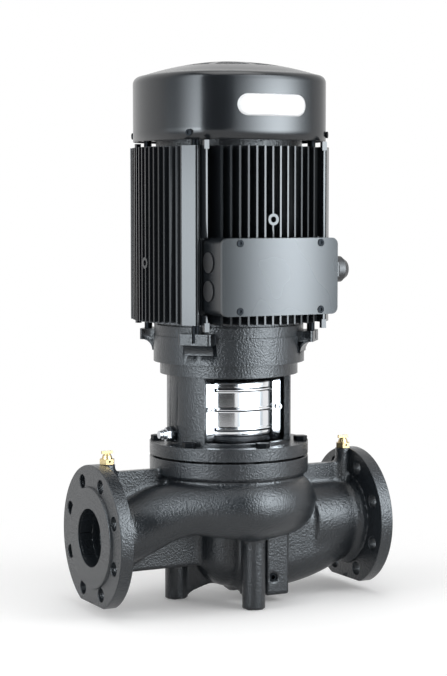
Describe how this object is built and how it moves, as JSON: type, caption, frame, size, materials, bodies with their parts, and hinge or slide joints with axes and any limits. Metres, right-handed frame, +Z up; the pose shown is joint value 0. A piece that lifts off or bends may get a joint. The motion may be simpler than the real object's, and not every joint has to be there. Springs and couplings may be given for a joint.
{
  "type": "in-line pump",
  "caption": "Vertical in-line pump: cast volute between two pipe flanges on short feet, a lantern with guarded coupling, and a square finned motor with terminal box and fan cover.",
  "frame": {"origin": "on the floor, at the middle of the circle of the three feet, on the shaft axis", "axes": "+Z up along the shaft, +X towards the suction flange, -Y towards the terminal box"},
  "size_m": [0.43, 0.28, 0.7567],
  "materials": {
    "cast_paint": "satin black paint on cast iron",
    "machined_iron": "machined grey iron",
    "bronze": "cast bronze",
    "rubber": "moulded rubber",
    "carbon": "lapped carbon",
    "ceramic": "lapped ceramic",
    "spring_steel": "drawn steel wire",
    "stainless": "polished stainless sheet",
    "shaft_steel": "turned steel",
    "black_steel": "blackened steel",
    "brass": "turned brass",
    "aluminium_paint": "satin black paint on cast aluminium",
    "bare_aluminium": "cast aluminium",
    "core_steel": "stacked electrical sheet",
    "copper": "lacquered copper wire",
    "bearing_steel": "ground bearing steel",
    "fan_plastic": "moulded black plastic",
    "lid_paint": "satin graphite paint on cast aluminium",
    "gland_plastic": "moulded black plastic",
    "board_plastic": "moulded terminal board"
  },
  "bodies": {
    "body": {"pump_casing": "cast_paint", "casing_wear_ring": "bronze", "cover_seal_ring": "rubber", "pump_cover": "cast_paint", "seal_seat": "ceramic", "joint_bolts": "black_steel", "drain_plug": "black_steel", "vent_body": "shaft_steel", "suction_cock": "brass", "discharge_cock": "brass", "lantern_bracket": "cast_paint", "guard_front": "stainless", "guard_back": "stainless", "guard_screws": "shaft_steel", "drive_end_shield": "cast_paint", "motor_frame": "aluminium_paint", "stator_core": "core_steel", "stator_windings": "copper", "low_bearing_outer": "bearing_steel", "top_bearing_outer": "bearing_steel", "top_end_shield": "cast_paint", "fan_cover": "aluminium_paint", "cover_screws": "black_steel", "tie_rods": "black_steel", "tie_nuts": "black_steel", "terminal_box": "aluminium_paint", "box_gasket": "rubber", "terminal_lid": "lid_paint", "lid_screws": "black_steel", "entry_plugs": "gland_plastic", "gland_body": "gland_plastic", "terminal_board": "board_plastic", "terminal_studs": "brass", "terminal_links": "brass", "box_screws": "shaft_steel"},
    "rotor": {"seal_face": "carbon", "seal_spring": "spring_steel", "impeller": "bronze", "impeller_nut": "shaft_steel", "impeller_key": "shaft_steel", "pump_shaft": "shaft_steel", "coupling_half_front": "machined_iron", "coupling_half_back": "machined_iron", "clamp_bolts": "black_steel", "rotor_core": "core_steel", "rotor_cage": "bare_aluminium", "motor_shaft": "shaft_steel", "low_bearing_inner": "bearing_steel", "low_bearing_balls": "bearing_steel", "top_bearing_inner": "bearing_steel", "top_bearing_balls": "bearing_steel", "fan": "fan_plastic"},
    "suction_key": {"suction_key": "brass"},
    "discharge_key": {"discharge_key": "brass"},
    "vent_screw": {"vent_screw": "shaft_steel"},
    "gland_nut": {"gland_nut": "gland_plastic"}
  },
  "joints": [
    {"name": "rotor_spin", "type": "hinge", "parent": "body", "child": "rotor", "pos_m": [0, 0, 0.3], "axis": [0, 0, 1], "continuous": true},
    {"name": "suction_key_turn", "type": "hinge", "parent": "body", "child": "suction_key", "pos_m": [0.188, 0, 0.2055], "axis": [0, 0, 1], "range_deg": [0, 90]},
    {"name": "discharge_key_turn", "type": "hinge", "parent": "body", "child": "discharge_key", "pos_m": [-0.188, 0, 0.2055], "axis": [0, 0, 1], "range_deg": [0, 90]},
    {"name": "vent_screw_turn", "type": "hinge", "parent": "body", "child": "vent_screw", "pos_m": [-0.1, 0, 0.241], "axis": [1, 0, 0], "range_deg": [0, 360]},
    {"name": "gland_nut_turn", "type": "hinge", "parent": "body", "child": "gland_nut", "pos_m": [0.1, -0.124, 0.4715], "axis": [1, 0, 0], "range_deg": [0, 360]}
  ]
}
